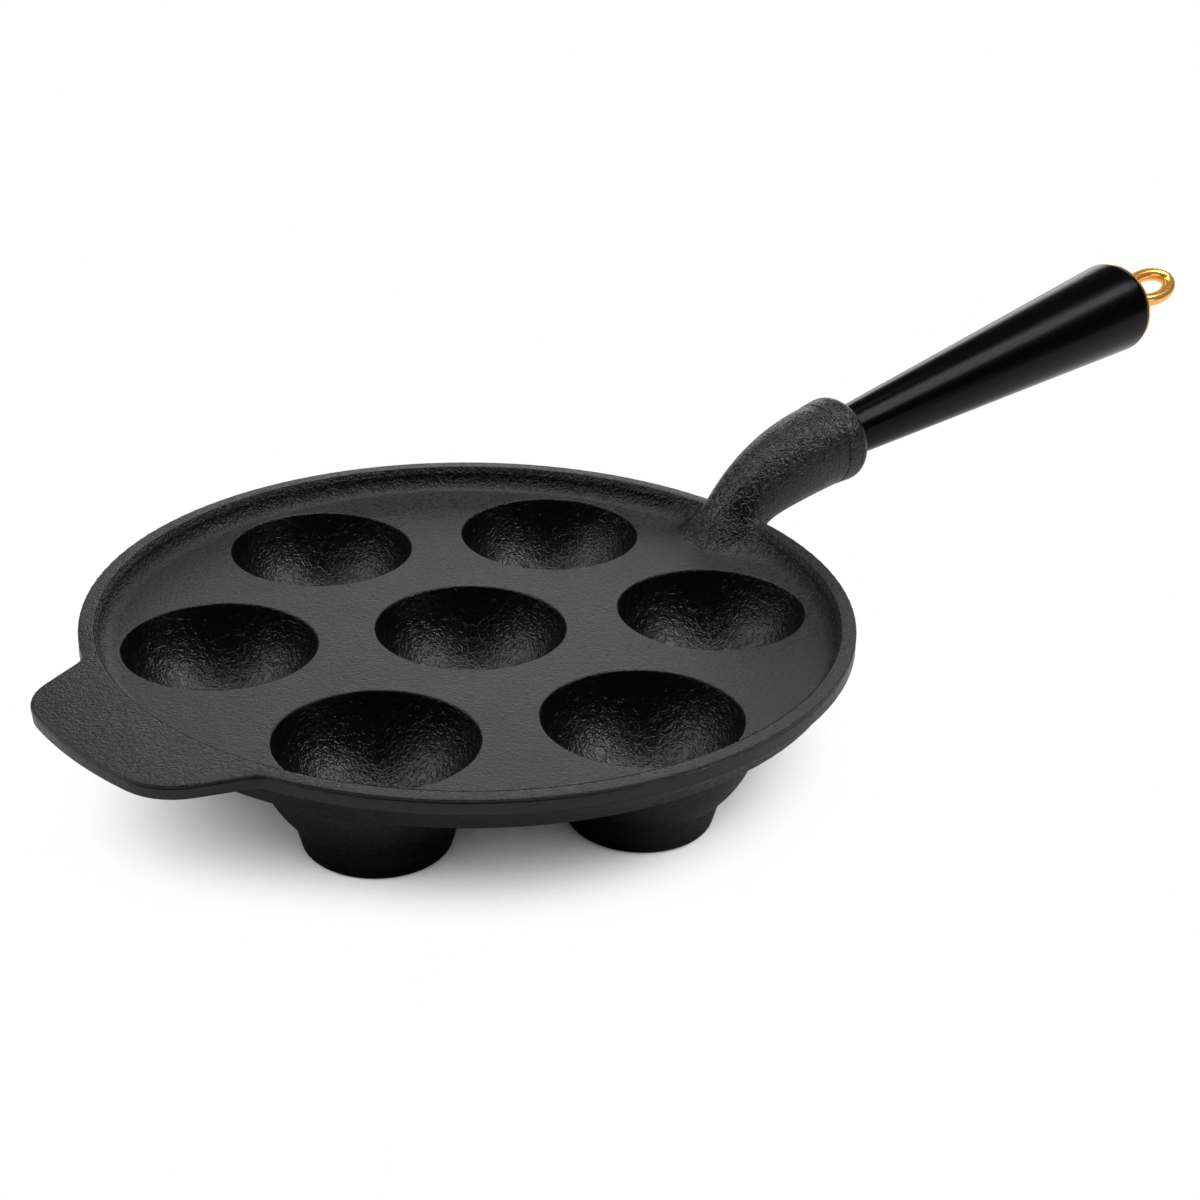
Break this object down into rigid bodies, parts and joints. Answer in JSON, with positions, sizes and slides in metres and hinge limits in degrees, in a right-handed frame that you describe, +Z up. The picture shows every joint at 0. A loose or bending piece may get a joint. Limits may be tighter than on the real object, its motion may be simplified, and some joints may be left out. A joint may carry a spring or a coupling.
{
  "type": "aebleskiver pan",
  "caption": "Cast-iron aebleskiver pan: a round plate of deep round wells on short feet, a helper tab, and a raised arm that carries a tapered black wooden handle with a brass hanging eye.",
  "frame": {"origin": "middle of the centre foot, on the surface that the pan stands on", "axes": "+X from the pan's centre along the handle, +Z up out of the wells, +Y to the left seen from the tab"},
  "size_m": [0.5098, 0.24, 0.0896],
  "materials": {
    "cast_iron": "seasoned sand casting, matt to satin",
    "black_wood": "turned and lacquered black, satin gloss",
    "rod_steel": "plain steel rod, hidden inside the handle",
    "brass": "polished"
  },
  "bodies": {
    "root": {"pan_casting": "cast_iron", "handle_grip": "black_wood", "tie_rod": "rod_steel", "end_washer": "brass", "hanging_eye": "brass"}
  },
  "joints": []
}
